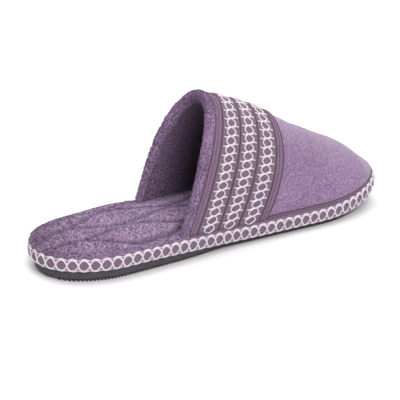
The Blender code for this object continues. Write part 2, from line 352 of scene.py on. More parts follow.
def add_piece(name, points, faces, material, smooth=True):
    mesh = bpy.data.meshes.new(name)
    mesh.from_pydata([tuple(p) for p in points], [], faces)
    mesh.validate()
    mesh.materials.append(material)
    piece = bpy.data.objects.new(name, mesh)
    bpy.context.scene.collection.objects.link(piece)
    bm = bmesh.new()
    bm.from_mesh(mesh)
    bmesh.ops.remove_doubles(bm, verts=bm.verts, dist=0.002 * MM)
    bmesh.ops.recalc_face_normals(bm, faces=bm.faces)
    bm.to_mesh(mesh)
    bm.free()
    if smooth:
        mesh.shade_smooth()
    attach(piece, "root")
    return piece


class Parts:
    """Points and faces of many small forms that become one mesh."""

    def __init__(self):
        self.points = []
        self.faces = []

    def add_loops(self, loops, closed=False, capped=True):
        start = len(self.points)
        size = len(loops[0])
        for loop in loops:
            self.points.extend(loop)
        count = len(loops)
        for i in range(count if closed else count - 1):
            a, b = start + i * size, start + ((i + 1) % count) * size
            for j in range(size):
                k = (j + 1) % size
                self.faces.append((a + j, a + k, b + k, b + j))
        if capped and not closed:
            self.faces.append(tuple(start + j for j in reversed(range(size))))
            self.faces.append(tuple(start + (count - 1) * size + j for j in range(size)))

    def add_tube(self, path, radius, sides=6, closed=False):
        """A thread along a path of (point, outward direction)."""
        loops = []
        count = len(path)
        for i, (point, out) in enumerate(path):
            after = path[(i + 1) % count][0] if closed or i + 1 < count else point
            before = path[i - 1][0] if closed or i else point
            along = (after - before).normalized()
            across = along.cross(out).normalized()
            up = across.cross(along)
            loops.append([
                point + radius * (math.cos(t) * across + math.sin(t) * up)
                for t in (2 * math.pi * k / sides for k in range(sides))
            ])
        self.add_loops(loops, closed)


def grid_faces(rows, columns, start=0):
    return [
        (start + i * columns + j, start + i * columns + j + 1,
         start + (i + 1) * columns + j + 1, start + (i + 1) * columns + j)
        for i in range(rows - 1)
        for j in range(columns - 1)
    ]


def shell(name, outer, inner, material):
    """A closed shell between two grids of points of the same size."""
    rows, columns = len(outer), len(outer[0])
    points = [p for row in outer for p in row] + [p for row in inner for p in row]
    below = rows * columns
    faces = grid_faces(rows, columns) + grid_faces(rows, columns, below)
    rim = [j for j in range(columns)] + [i * columns + columns - 1 for i in range(1, rows)]
    rim += [(rows - 1) * columns + j for j in range(columns - 2, -1, -1)]
    rim += [i * columns for i in range(rows - 2, 0, -1)]
    for a, b in zip(rim, rim[1:] + rim[:1]):
        faces.append((a, b, b + below, a + below))
    return add_piece(name, points, faces, material)


def ruffle(point, scale, depth, octaves=2):
    """How far a pile stands up at a point."""
    total, size, share = 0.0, scale, 1.0
    for _ in range(octaves):
        total += share * noise.noise(point / size)
        size, share = size * 0.45, share * 0.6
    return depth * total


# Node groups


def new_group(name, inputs, outputs):
    group = bpy.data.node_groups.new(name, "ShaderNodeTree")
    for label, kind, value in inputs:
        socket = group.interface.new_socket(label, in_out="INPUT", socket_type=kind)
        socket.default_value = value
    for label, kind in outputs:
        group.interface.new_socket(label, in_out="OUTPUT", socket_type=kind)
    start = group.nodes.new("NodeGroupInput")
    end = group.nodes.new("NodeGroupOutput")
    return group, start, end


def make_pile_group():
    """Speckle of a looped or cut pile: fine loops, deeper hollows and broad brushed patches."""
    inputs = [
        ("Loop Size", "NodeSocketFloat", 900.0),
        ("Patch Size", "NodeSocketFloat", 40.0),
        ("Hollow", "NodeSocketColor", (0.1, 0.06, 0.13, 1)),
        ("Tip", "NodeSocketColor", (0.4, 0.3, 0.5, 1)),
    ]
    outputs = [("Color", "NodeSocketColor"), ("Height", "NodeSocketFloat")]
    group, start, end = new_group("pile_speckle", inputs, outputs)
    nodes, links = group.nodes, group.links
    place = nodes.new("ShaderNodeTexCoord")
    loops = nodes.new("ShaderNodeTexNoise")
    loops.inputs["Detail"].default_value = 3.0
    loops.inputs["Roughness"].default_value = 0.65
    patches = nodes.new("ShaderNodeTexNoise")
    patches.inputs["Detail"].default_value = 2.0
    links.new(place.outputs["Object"], loops.inputs["Vector"])
    links.new(place.outputs["Object"], patches.inputs["Vector"])
    links.new(start.outputs["Loop Size"], loops.inputs["Scale"])
    links.new(start.outputs["Patch Size"], patches.inputs["Scale"])
    spread = nodes.new("ShaderNodeMapRange")
    spread.inputs["From Min"].default_value = 0.34
    spread.inputs["From Max"].default_value = 0.66
    links.new(loops.outputs["Fac"], spread.inputs["Value"])
    brushed = nodes.new("ShaderNodeMath")
    brushed.operation = "MULTIPLY_ADD"
    brushed.inputs[1].default_value = PATCH_CONTRAST
    brushed.inputs[2].default_value = PATCH_SHIFT
    links.new(patches.outputs["Fac"], brushed.inputs[0])
    total = nodes.new("ShaderNodeMath")
    total.operation = "ADD"
    total.use_clamp = True
    links.new(spread.outputs["Result"], total.inputs[0])
    links.new(brushed.outputs["Value"], total.inputs[1])
    mix = nodes.new("ShaderNodeMix")
    mix.data_type = "RGBA"
    links.new(total.outputs["Value"], mix.inputs["Factor"])
    links.new(start.outputs["Hollow"], mix.inputs["A"])
    links.new(start.outputs["Tip"], mix.inputs["B"])
    links.new(mix.outputs["Result"], end.inputs["Color"])
    links.new(spread.outputs["Result"], end.inputs["Height"])
    return group


def make_weave_group():
    """Fine crossing yarns of a woven ground, with a little unevenness."""
    inputs = [
        ("Yarn Scale", "NodeSocketFloat", 700.0),
        ("Dark", "NodeSocketColor", (0.1, 0.06, 0.1, 1)),
        ("Light", "NodeSocketColor", (0.3, 0.2, 0.3, 1)),
    ]
    outputs = [("Color", "NodeSocketColor"), ("Height", "NodeSocketFloat")]
    group, start, end = new_group("crossing_yarns", inputs, outputs)
    nodes, links = group.nodes, group.links
    place = nodes.new("ShaderNodeTexCoord")
    waves = []
    for direction in ("DIAGONAL", "Z"):
        wave = nodes.new("ShaderNodeTexWave")
        wave.bands_direction = direction
        wave.inputs["Distortion"].default_value = 1.2
        wave.inputs["Detail"].default_value = 1.0
        links.new(place.outputs["Object"], wave.inputs["Vector"])
        links.new(start.outputs["Yarn Scale"], wave.inputs["Scale"])
        waves.append(wave)
    grain = nodes.new("ShaderNodeTexNoise")
    grain.inputs["Scale"].default_value = 1300.0
    links.new(place.outputs["Object"], grain.inputs["Vector"])
    both = nodes.new("ShaderNodeMath")
    both.operation = "MULTIPLY"
    links.new(waves[0].outputs["Fac"], both.inputs[0])
    links.new(waves[1].outputs["Fac"], both.inputs[1])
    total = nodes.new("ShaderNodeMath")
    total.operation = "MULTIPLY_ADD"
    total.inputs[1].default_value = 0.8
    total.use_clamp = True
    links.new(grain.outputs["Fac"], total.inputs[0])
    links.new(both.outputs["Value"], total.inputs[2])
    mix = nodes.new("ShaderNodeMix")
    mix.data_type = "RGBA"
    links.new(total.outputs["Value"], mix.inputs["Factor"])
    links.new(start.outputs["Dark"], mix.inputs["A"])
    links.new(start.outputs["Light"], mix.inputs["B"])
    links.new(mix.outputs["Result"], end.inputs["Color"])
    links.new(total.outputs["Value"], end.inputs["Height"])
    return group


def group_material(name, group, values, roughness, sheen, bump_distance):
    """A cloth whose colour and relief come from one of the groups."""
    material = bpy.data.materials.new(name)
    material.use_nodes = True
    nodes, links = material.node_tree.nodes, material.node_tree.links
    shader = nodes["Principled BSDF"]
    shader.inputs["Roughness"].default_value = roughness
    shader.inputs["Sheen Weight"].default_value = sheen
    shader.inputs["Sheen Roughness"].default_value = 0.5
    shader.inputs["Specular IOR Level"].default_value = 0.2
    made = nodes.new("ShaderNodeGroup")
    made.node_tree = group
    for label, value in values.items():
        made.inputs[label].default_value = value
    bump = nodes.new("ShaderNodeBump")
    bump.inputs["Strength"].default_value = 0.8
    bump.inputs["Distance"].default_value = bump_distance
    links.new(made.outputs["Color"], shader.inputs["Base Color"])
    links.new(made.outputs["Height"], bump.inputs["Height"])
    links.new(bump.outputs["Normal"], shader.inputs["Normal"])
    return material


def paint_shade_by_mask(material, mask_name, shade):
    """Mixes a darker colour into a cloth where the mask that its piece carries says so: painted shade,
    and on the quilting lines also darker packed pile.
    """
    nodes, links = material.node_tree.nodes, material.node_tree.links
    shader = nodes["Principled BSDF"]
    colour = shader.inputs["Base Color"].links[0].from_socket
    mask = nodes.new("ShaderNodeAttribute")
    mask.attribute_name = mask_name
    mix = nodes.new("ShaderNodeMix")
    mix.data_type = "RGBA"
    links.new(mask.outputs["Fac"], mix.inputs["Factor"])
    links.new(colour, mix.inputs["A"])
    mix.inputs["B"].default_value = shade
    links.new(mix.outputs["Result"], shader.inputs["Base Color"])


pile = make_pile_group()
weave = make_weave_group()


def make_finishes():
    velour = {"Loop Size": 820.0, "Patch Size": 26.0,
              "Hollow": (0.110, 0.058, 0.132, 1), "Tip": (0.308, 0.198, 0.338, 1)}
    terry = {"Loop Size": 1000.0, "Patch Size": 45.0,
             "Hollow": (0.068, 0.035, 0.083, 1), "Tip": (0.435, 0.285, 0.480, 1)}
    cuff = {"Loop Size": 1000.0, "Patch Size": 45.0,
            "Hollow": (0.050, 0.026, 0.060, 1), "Tip": (0.500, 0.320, 0.545, 1)}
    # The lining's hollows are darker than the footbed terry's: painted shade for the inside of the shoe
    lining = {"Loop Size": 1000.0, "Patch Size": 45.0,
              "Hollow": (0.030, 0.015, 0.038, 1), "Tip": (0.520, 0.320, 0.565, 1)}
    twill = {"Yarn Scale": 330.0, "Dark": (0.058, 0.030, 0.056, 1), "Light": (0.235, 0.152, 0.225, 1)}
    ground = {"Yarn Scale": 420.0, "Dark": (0.055, 0.032, 0.052, 1), "Light": (0.230, 0.158, 0.212, 1)}
    white = {"Yarn Scale": 800.0, "Dark": (0.430, 0.365, 0.425, 1), "Light": (0.800, 0.725, 0.790, 1)}
    dark = {"Yarn Scale": 900.0, "Dark": (0.040, 0.020, 0.040, 1), "Light": (0.130, 0.072, 0.125, 1)}
    rubber = {"Loop Size": 900.0, "Patch Size": 60.0,
              "Hollow": (0.050, 0.044, 0.053, 1), "Tip": (0.088, 0.080, 0.092, 1)}
    return {
        "velour": group_material("velour_lilac", pile, velour, 0.85, 0.35, 0.25 * MM),
        "terry": group_material("terry_lilac", pile, terry, 0.95, 0.25, 0.5 * MM),
        "cuff": group_material("terry_cuff_lilac", pile, cuff, 0.95, 0.2, 0.5 * MM),
        "lining": group_material("terry_lining_lilac", pile, lining, 0.95, 0.15, 0.5 * MM),
        "twill": group_material("twill_mauve", weave, twill, 0.8, 0.1, 0.25 * MM),
        "ground": group_material("woven_mauve", weave, ground, 0.8, 0.1, 0.25 * MM),
        "white": group_material("yarn_white", weave, white, 0.8, 0.1, 0.15 * MM),
        "dark": group_material("stitch_plum", weave, dark, 0.85, 0.0, 0.1 * MM),
        "rubber": group_material("foamed_rubber_grey", pile, rubber, 0.75, 0.0, 0.1 * MM),
    }


finish = make_finishes()
# Dark packed pile and painted shade along the footbed's quilting lines, by its sewn mask
paint_shade_by_mask(finish["terry"], "sewn", (0.028, 0.014, 0.034, 1))
# Painted shade inside the shoe, by the lining's depth mask
paint_shade_by_mask(finish["lining"], "depth", (0.008, 0.004, 0.010, 1))


# Sole


def make_sole():
    """Foamed rubber wedge with a rounded lower edge and a set-back strip for the ribs."""
    levels = (
        (SOLE_INSET + 2.4 * MM, RIB_DEPTH),
        (SOLE_INSET + 1.2 * MM, RIB_DEPTH),
        (SOLE_INSET + 1.0 * MM, RIB_DEPTH + 0.8 * MM),
        (SOLE_INSET + 0.1 * MM, RIB_DEPTH + 1.3 * MM),
        (SOLE_INSET, RIB_DEPTH + 1.8 * MM),
    )
    count = 120
    loops = []
    for inset, rise in levels:
        ring = outline(inset, count)
        loops.append([Vector((b - HEEL_SEAT, y, sole_bottom(b) + rise)) for b, y in ring])
    loops.append([Vector((b - HEEL_SEAT, y, sole_top(b))) for b, y in outline(SOLE_INSET, count)])
    parts = Parts()
    parts.add_loops(loops, capped=False)
    size = 2 * count
    for start in (0, (len(loops) - 1) * size):
        for i in range(count):
            ring = [start + k % size for k in (i, i + 1, size - i - 1, size - i)]
            parts.faces.append(tuple(dict.fromkeys(ring)))
    piece = add_piece("rubber_sole", parts.points, parts.faces, finish["rubber"])
    piece.data.set_sharp_from_angle(angle=math.radians(35))
    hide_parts("outsole")


def make_tread_ribs():
    """Fine ribs across the underside, whose ends show as teeth along the lower edge."""
    parts = Parts()
    back = SOLE_INSET + RIB_END_GAP
    steps = 10
    while back < LENGTH - SOLE_INSET - RIB_END_GAP:
        left = -half_width(back, -1, SOLE_INSET + RIB_SET_IN)
        right = half_width(back, 1, SOLE_INSET + RIB_SET_IN)
        loops = []
        for i in range(steps + 1):
            y = left + (right - left) * i / steps
            low = sole_bottom(back)
            x = back - HEEL_SEAT
            loops.append([
                Vector((x - RIB_WIDTH / 2, y, low + RIB_DEPTH + RIB_ROOT)),
                Vector((x - RIB_WIDTH / 3, y, low)),
                Vector((x + RIB_WIDTH / 3, y, low)),
                Vector((x + RIB_WIDTH / 2, y, low + RIB_DEPTH + RIB_ROOT)),
            ])
        parts.add_loops(loops)
        back += RIB_PITCH
    piece = add_piece("tread_ribs", parts.points, parts.faces, finish["rubber"], smooth=False)


# Footbed


def quilt_line(index, back):
    """Distance across the shoe of one wavy line of quilting; neighbours swing against each other."""
    phase = math.pi * (index % 2)
    middle = (index - (QUILT_LINES - 1) / 2) * QUILT_SPACING
    narrowing = QUILT_AT_HEEL + QUILT_WIDENING * smooth_step(back / QUILT_WIDENING_RUN)
    return middle * narrowing + QUILT_SWING * math.sin(2 * math.pi * back / QUILT_WAVE + phase)


def quilt_gap(back, y):
    """Distance from a place on the footbed to the nearest line of quilting."""
    return min(abs(y - quilt_line(i, back)) for i in range(QUILT_LINES))


def footbed_place(back, share):
    """A point of the footbed's smooth top at a signed share across it, and how deep in from the rim."""
    side = -1 if share < 0 else 1
    y = side * half_width(back, side, footbed_inset(back, side)) * math.sin(0.5 * math.pi * abs(share))
    depth = min(half_width(back, side, 0.0) - abs(y), back, LENGTH - back)
    height = CLEARANCE + footbed_height(back, side, depth)
    return Vector((back - HEEL_SEAT, y, sole_top(back) + height)), depth


def cover_points():
    """Points of the cover sheet on the smooth top, and which are sewn: 1 on a line or at the rim."""
    rows, half = PUFF_ROWS, PUFF_HALF
    span = FOOTBED_LAST - FOOTBED_FIRST - 2 * COVER_MARGIN
    points, sewn = [], []
    for i in range(rows + 1):
        back = FOOTBED_FIRST + COVER_MARGIN + span * i / rows
        for j in range(-half, half + 1):
            point = footbed_place(back, j / half)[0]
            points.append(point)
            on_line = quilt_gap(back, point.y) < COVER_PINNED
            at_rim = abs(j) > half - 2 or i in (0, 1, rows - 1, rows)
            sewn.append(1.0 if on_line or at_rim else 0.0)
    return points, sewn


def make_cover(points, sewn):
    """The cover sheet as cloth under air pressure, held at its sewn points."""
    mesh = bpy.data.meshes.new("cover_in_the_making")
    mesh.from_pydata([tuple(p) for p in points], [], grid_faces(PUFF_ROWS + 1, 2 * PUFF_HALF + 1))
    cover = bpy.data.objects.new("cover_in_the_making", mesh)
    bpy.context.scene.collection.objects.link(cover)
    pins = cover.vertex_groups.new(name="sewn")
    for i, weight in enumerate(sewn):
        pins.add([i], weight, "REPLACE")
    cloth = cover.modifiers.new("cover", "CLOTH")
    cloth.settings.quality = 6
    cloth.settings.mass = 0.15
    cloth.settings.tension_stiffness = 4
    cloth.settings.compression_stiffness = 4
    cloth.settings.bending_stiffness = 0.2
    cloth.settings.use_pressure = True
    cloth.settings.uniform_pressure_force = 4
    cloth.settings.vertex_group_mass = "sewn"
    cloth.settings.effector_weights.gravity = 0
    cloth.point_cache.frame_start = 1
    cloth.point_cache.frame_end = PUFF_FRAMES
    return cover


def puff_footbed():
    """Cloth simulation of the cushion's cover between the sewn lines. Gives each point's rise."""
    columns = 2 * PUFF_HALF + 1
    points, sewn = cover_points()
    cover = make_cover(points, sewn)
    scene = bpy.context.scene
    for step in range(1, PUFF_FRAMES + 1):
        scene.frame_set(step)
        bpy.context.view_layer.update()
    shown = cover.evaluated_get(bpy.context.evaluated_depsgraph_get())
    lift = []
    for index, vertex in enumerate(shown.data.vertices):
        moved = vertex.co - points[index]
        # The pressure dents the open sheet, mostly downwards, so the dents are turned round to rises
        moved.z = abs(moved.z)
        if moved.length > PUFF_LIMIT:
            moved *= PUFF_LIMIT / moved.length
        lift.append(moved)
    bpy.data.objects.remove(cover)
    scene.frame_set(1)
    return [lift[i * columns:(i + 1) * columns] for i in range(PUFF_ROWS + 1)]


def lift_at(lift, back, share):
    """The cover's lift between the simulated points."""
    along = (back - FOOTBED_FIRST - COVER_MARGIN) / (FOOTBED_LAST - FOOTBED_FIRST - 2 * COVER_MARGIN)
    u = min(max(along, 0.0), 1.0) * PUFF_ROWS
    v = (min(max(share, -1.0), 1.0) + 1) * PUFF_HALF
    i, j = min(int(u), PUFF_ROWS - 1), min(int(v), 2 * PUFF_HALF - 1)
    near = lift[i][j].lerp(lift[i][j + 1], v - j)
    far = lift[i + 1][j].lerp(lift[i + 1][j + 1], v - j)
    return near.lerp(far, u - i)


def paint_quilt_shade(piece):
    """Writes how near each point of the footbed lies to a line of quilting, as a mask of painted shade
    and darker packed pile.
    """
    mask = piece.data.attributes.new("sewn", "FLOAT", "POINT")
    for vertex, value in zip(piece.data.vertices, mask.data):
        gap = quilt_gap(vertex.co.x + HEEL_SEAT, vertex.co.y)
        line = math.exp(-((gap / QUILT_GROOVE) ** 2))
        beside = math.exp(-((gap / (3 * QUILT_GROOVE)) ** 2))
        broken = SEWN_BREAK + SEWN_BREAK * noise.noise(vertex.co / SEWN_BREAK_SIZE)
        value.value = min(SEWN_PILE_AND_PAINTED_SHADE * line * broken + BESIDE_PAINTED_SHADE * beside, 1.0)


def make_footbed():
    """Quilted terry cushion: a crowned top on a base that follows the sole, closed at its rim."""
    lift = puff_footbed()
    half = FOOTBED_HALF
    top, low = [], []
    for back in stations(FOOTBED_FIRST, FOOTBED_LAST, FOOTBED_ROWS):
        top_row, low_row = [], []
        for j in range(-half, half + 1):
            point, depth = footbed_place(back, j / half)
            inside = smooth_step((depth - BULGE_INSET) / QUILT_FADE)
            groove = QUILT_DEPTH * math.exp(-((quilt_gap(back, point.y) / QUILT_GROOVE) ** 2)) * inside
            pile_rise = ruffle(point, PILE_GRAIN, PILE_RISE)
            under = max(half_width(back, 1 if j > 0 else -1, UPPER_INSET) - BASE_GAP, 0.0)
            y = min(max(point.y, -under), under)
            low_row.append(Vector((point.x, y, sole_top(back) + CLEARANCE)))
            top_row.append(point + lift_at(lift, back, j / half) + Vector((0, 0, pile_rise - groove)))
        top.append(top_row)
        low.append(low_row)
    piece = shell("footbed_cushion", top, low, finish["terry"])
    paint_quilt_shade(piece)
    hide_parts("footbed")
    return top


def make_tufts(name, spots, loop_height, material):
    """Loops of the terry pile that stand up from the cloth: spots are (point, out)."""
    parts = Parts()
    for point, out in spots:
        lean = Vector((random.uniform(-1, 1), random.uniform(-1, 1), random.uniform(-1, 1)))
        across = out.cross(lean).normalized()
        rise = loop_height * random.uniform(0.6, 1.1)
        spread = loop_height * random.uniform(0.25, 0.45)
        path = []
        for k in range(4):
            turn = math.pi * k / 3
            place = point + across * spread * math.cos(turn) + out * rise * math.sin(turn)
            path.append((place, out))
        parts.add_tube(path, TUFT_YARN, sides=3)
    piece = add_piece(name, parts.points, parts.faces, material)


def make_footbed_tufts(top):
    """Standing loops on the part of the footbed that shows, but not on the quilting lines."""
    spots = []
    rows, columns = len(top), len(top[0])
    for _ in range(FOOTBED_TUFTS):
        i = random.randrange(1, int(rows * FOOTBED_SHOWN))
        j = random.randrange(1, columns - 1)
        out = (top[i + 1][j] - top[i - 1][j]).cross(top[i][j + 1] - top[i][j - 1])
        here = top[i][j]
        if out.length > 0 and quilt_gap(here.x + HEEL_SEAT, here.y) > QUILT_GROOVE:
            spots.append((here, out.normalized()))
    make_tufts("footbed_loops", spots, FOOTBED_TUFT_HEIGHT, finish["terry"])


# Upper


def on_sole(point):
    """The place on the sole straight below a point."""
    return Vector((point.x, point.y, sole_top(point.x + HEEL_SEAT) + CLEARANCE))


def upper_grid(inset, relief, rows, columns):
    """Rows of points over the foot from the collar to the toe, with a relief along the outside."""
    end = LENGTH - UPPER_INSET - inset
    grid = []
    for i in range(rows + 1):
        share = math.sin(0.5 * math.pi * i / rows)
        row = []
        for j in range(columns + 1):
            angle = math.pi * j / columns
            start = collar_line(angle) + UPPER_START * collar_slant(angle)
            back = start + (end - start) * share
            point = arch_point(back, angle, inset)
            row.append(arch_point(back, angle, inset - relief(point, back, angle)))
        grid.append([on_sole(row[0]), *row, on_sole(row[-1])])
    return grid


def vamp_relief(point, back, angle):
    """Creases: a break across the ball, a pull beside the tape and a swell at the toe."""
    off_floor = math.sin(angle)
    from_break = (back - BALL_BREAK) - BALL_BREAK_SKEW * math.cos(angle)
    ball = math.exp(-((from_break / BALL_BREAK_WIDTH) ** 2))
    pull = math.exp(-(((back - TAPE_PULL) / TAPE_PULL_WIDTH) ** 2)) * math.cos(angle) ** 2
    broad = noise.noise(point / WAVER_SIZE) * WAVER_RISE
    fine = noise.noise(point / NAP_SIZE) * NAP_RISE
    round_side = math.sin(min(TOE_SWELL_ROUND * off_floor, 1.0) * math.pi / 2)
    swell = TOE_SWELL * smooth_step((back - TOE_SWELL_START) / TOE_SWELL_RUN) * round_side
    return (broad - BALL_BREAK_DEPTH * ball + TAPE_PULL_RISE * pull) * off_floor + fine + swell


def make_vamp():
    """Velour outside of the upper's wall, down to its middle."""
    outer = upper_grid(0.0, vamp_relief, 150, 150)
    middle = upper_grid(WALL / 2, lambda p, b, a: 0.0, 150, 150)
    piece = shell("vamp_velour", outer, middle, finish["velour"])
    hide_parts("upper")


def make_lining():
    """Terry inside of the upper's wall, with a painted shade that darkens it the deeper it lies in the
    shoe.
    """
    outer = upper_grid(WALL / 2 + 0.05 * MM, lambda p, b, a: 0.0, 130, 130)
    inner = upper_grid(WALL, lambda p, b, a: -ruffle(p, LINING_GRAIN, LINING_RISE), 130, 130)
    piece = shell("vamp_lining", outer, inner, finish["lining"])
    # The depth mask is painted shade: it darkens the lining with distance in from the collar
    mask = piece.data.attributes.new("depth", "FLOAT", "POINT")
    for vertex, value in zip(piece.data.vertices, mask.data):
        along = (vertex.co.x + HEEL_SEAT - COLLAR_INNER_FOOT) / LINING_SHADE_FADE
        value.value = LINING_PAINTED_SHADE * smooth_step(along)


def make_cuff_tufts(loops):
    """Standing loops all round the roll."""
    spots = []
    for _ in range(CUFF_TUFTS):
        loop = loops[random.randrange(2, len(loops) - 2)]
        point = random.choice(loop)
        middle = sum(loop, Vector()) / len(loop)
        spots.append((point, (point - middle).normalized()))
    make_tufts("cuff_loops", spots, CUFF_TUFT_HEIGHT, finish["cuff"])


def make_cuff():
    """Padded terry roll that binds the collar."""
    middle = CUFF_PROUD - CUFF_THICKNESS / 2
    steps, sides = 300, 40
    loops = []
    for i in range(steps + 1):
        angle = math.pi * i / steps
        filling = CUFF_AT_FOOT + CUFF_FILLING * smooth_step(math.sin(angle) / CUFF_FILLING_RUN)
        width = CUFF_WIDTH * filling
        loop = []
        for j in range(sides):
            turn = 2 * math.pi * j / sides
            rough = arch_point(collar_line(angle), angle, 0.0) + Vector((0, 0, CUFF_GIRTH * turn))
            grain = ruffle(rough, CUFF_GRAIN, CUFF_GRAIN_RISE)
            grow = 1 + grain + CUFF_LUMP_RISE * noise.noise(rough / CUFF_LUMP)
            after = CUFF_WIDTH - width + width / 2 * (1 + grow * math.cos(turn))
            loop.append(on_upper(after, angle, middle + grow * CUFF_THICKNESS / 2 * math.sin(turn)))
        loops.append(loop)
    sunk = Vector((0, 0, CUFF_SINK))
    loops.insert(0, [point - sunk for point in loops[0]])
    loops.append([point - sunk for point in loops[-1]])
    make_cuff_tufts(loops)
    parts = Parts()
    parts.add_loops(loops)
    piece = add_piece("cuff_roll", parts.points, parts.faces, finish["cuff"])
    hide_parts("collar_cuff")


# Tapes and ribbons


def make_strip(name, node, start, width, thickness, material, ridges):
    """A woven strip over the foot, with its edges turned down and fine cords along it."""
    steps, across = 160, 16
    low = CLEARANCE * 0.5
    outer, inner = [], []
    for i in range(steps + 1):
        angle = math.pi * i / steps
        outer_row, inner_row = [], []
        for j in range(across + 1):
            share = j / across
            shoulder = min(1.0, 5 * share, 5 * (1 - share))
            rise = CLEARANCE + thickness * (STRIP_TURNED + STRIP_FULL * smooth_step(shoulder))
            rise += STRIP_CORD * math.cos(2 * math.pi * ridges * share)
            outer_row.append(on_upper(start + width * share, angle, rise))
            inner_row.append(on_upper(start + width * share, angle, low))
        outer.append(outer_row)
        inner.append(inner_row)
    piece = shell(name, outer, inner, material)
    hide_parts(node)


def girth_places(after, pitch):
    """How often a pitch fits over the foot at a distance after the collar, and the angle at a share."""
    fine = 600
    lengths = [0.0]
    before = on_upper(after, 0.0, 0.0)
    for i in range(1, fine + 1):
        point = on_upper(after, math.pi * i / fine, 0.0)
        lengths.append(lengths[-1] + (point - before).length)
        before = point
    count = max(1, round(lengths[-1] / pitch))

    def angle_at(share):
        target = min(max(share, 0.0), 1.0) * lengths[-1]
        i = next(k for k in range(fine) if lengths[k + 1] >= target)
        part = (target - lengths[i]) / (lengths[i + 1] - lengths[i])
        return math.pi * (i + part) / fine

    return count, angle_at


def upper_out(after, angle):
    """The direction that leads straight out of the upper."""
    base = on_upper(after, angle, 0.0)
    return (on_upper(after, angle, 2 * MM) - base).normalized()


def add_chain(parts, start):
    """Two white threads that swing against each other into a row of ovals, with small side loops."""
    middle = start + RIBBON_OVAL_PLACE * RIBBON_WIDTH
    count, angle_at = girth_places(middle, RIBBON_OVAL_PITCH)
    top = CLEARANCE + RIBBON_THICKNESS
    per_oval = 14
    for side in (-1, 1):
        path = []
        for k in range(count * per_oval + 1):
            phase = math.pi * k / per_oval
            angle = angle_at(k / (count * per_oval))
            swing = side * math.sin(phase)
            swing = math.copysign(abs(swing) ** RIBBON_OVAL_SQUARENESS, swing)
            proud = top + RIBBON_THREAD_PROUD + CROSSING * math.cos(phase) * side
            place = on_upper(middle + RIBBON_OVAL_REACH * swing, angle, proud)
            path.append((place, upper_out(middle, angle)))
        parts.add_tube(path, RIBBON_THREAD, sides=6)
    last = len(RIBBON_ARM_BEND) - 1
    for cell in range(1, count):
        out = upper_out(middle, angle_at(cell / count))
        for side in (-1, 1):
            path = []
            for k, bend in enumerate(RIBBON_ARM_BEND):
                reach = side * (RIBBON_ARM_START + (RIBBON_ARM_REACH - RIBBON_ARM_START) * k / last)
                turn = angle_at((cell + 0.5 * bend * side) / count)
                path.append((on_upper(middle + reach, turn, top + RIBBON_ARM_PROUD), out))
            parts.add_tube(path, RIBBON_THREAD, sides=6)


def add_line(parts, after, proud, radius):
    """A dark stitched line over the foot at a distance after the collar."""
    steps = 130
    path = []
    for i in range(steps + 1):
        angle = math.pi * i / steps
        path.append((on_upper(after, angle, proud), upper_out(after, angle)))
    parts.add_tube(path, radius, sides=5)


def make_instep_trims():
    """Two tapes with three ribbons between them, and their threads and stitch lines."""
    chains, lines = Parts(), Parts()
    twill, ground = finish["twill"], finish["ground"]
    start = UPPER_START
    tape_top = CLEARANCE + TAPE_THICKNESS
    ribbon_top = CLEARANCE + RIBBON_THICKNESS
    make_strip("tape_collar", "collar_tape", start, COLLAR_TAPE_WIDTH, TAPE_THICKNESS, twill, 3)
    add_line(lines, start + 0.35 * COLLAR_TAPE_WIDTH, tape_top, 0.28 * MM)
    start += COLLAR_TAPE_WIDTH + CLEARANCE
    add_line(lines, start - CLEARANCE / 2, tape_top - 0.2 * MM, 0.45 * MM)
    for i in range(1, RIBBON_COUNT + 1):
        node = f"instep_ribbon_{i}"
        make_strip(f"ribbon_{i}", node, start, RIBBON_WIDTH, RIBBON_THICKNESS, ground, 5)
        add_chain(chains, start)
        start += RIBBON_WIDTH + CLEARANCE
        add_line(lines, start - CLEARANCE / 2, ribbon_top - 0.4 * MM, 0.38 * MM)
    make_strip("tape_front", "front_tape", start, FRONT_TAPE_WIDTH, TAPE_THICKNESS, twill, 3)
    for share in (0.36, 0.92):
        add_line(lines, start + share * FRONT_TAPE_WIDTH, tape_top - 0.05 * MM, 0.36 * MM)
    piece = add_piece("ribbon_chains", chains.points, chains.faces, finish["white"])
    piece = add_piece("trim_stitch_lines", lines.points, lines.faces, finish["dark"])


# Edge band


def edge_track(count):
    """Evenly spaced places round the outline: (distance from the heel end, y, outward direction)."""
    fine = outline(0.0, 1500)
    spots = [Vector((b, y)) for b, y in fine]
    lengths = [0.0]
    for a, b in zip(spots, spots[1:] + spots[:1]):
        lengths.append(lengths[-1] + (b - a).length)
    track, at = [], 0
    size = len(spots)
    for k in range(count):
        target = lengths[-1] * k / count
        while lengths[at + 1] < target:
            at += 1
        part = (target - lengths[at]) / (lengths[at + 1] - lengths[at])
        here = spots[at].lerp(spots[(at + 1) % size], part)
        along = (spots[(at + 3) % size] - spots[at - 2]).normalized()
        track.append((here, Vector((along.y, -along.x))))
    return track, lengths[-1]


def track_spot(track, at):
    """A place between two places of the track."""
    first = math.floor(at)
    part = at - first
    near, far = track[first % len(track)], track[(first + 1) % len(track)]
    return near[0].lerp(far[0], part), near[1].lerp(far[1], part)


def band_tuck(share):
    """How far the band's outer face lies in at a share of its height."""
    return BRAID_TUCK * table_value(BAND, BAND_COLUMNS, "tuck", share)


def band_point(spot, height, proud):
    """A point on the band's outer face, with the direction that leads straight out of it."""
    here, out = spot
    share = min(max(height / BRAID_HEIGHT, 0.0), 1.0)
    tuck = band_tuck(share)
    nearby = 0.04
    slope = (band_tuck(share + nearby) - band_tuck(share - nearby)) / (2 * nearby * BRAID_HEIGHT)
    level = sole_top(min(max(here.x, 0.0), LENGTH)) + CLEARANCE + height
    face = Vector((out.x, out.y, slope)).normalized()
    base = Vector((here.x - HEEL_SEAT - out.x * tuck, here.y - out.y * tuck, level))
    return base + face * proud, face


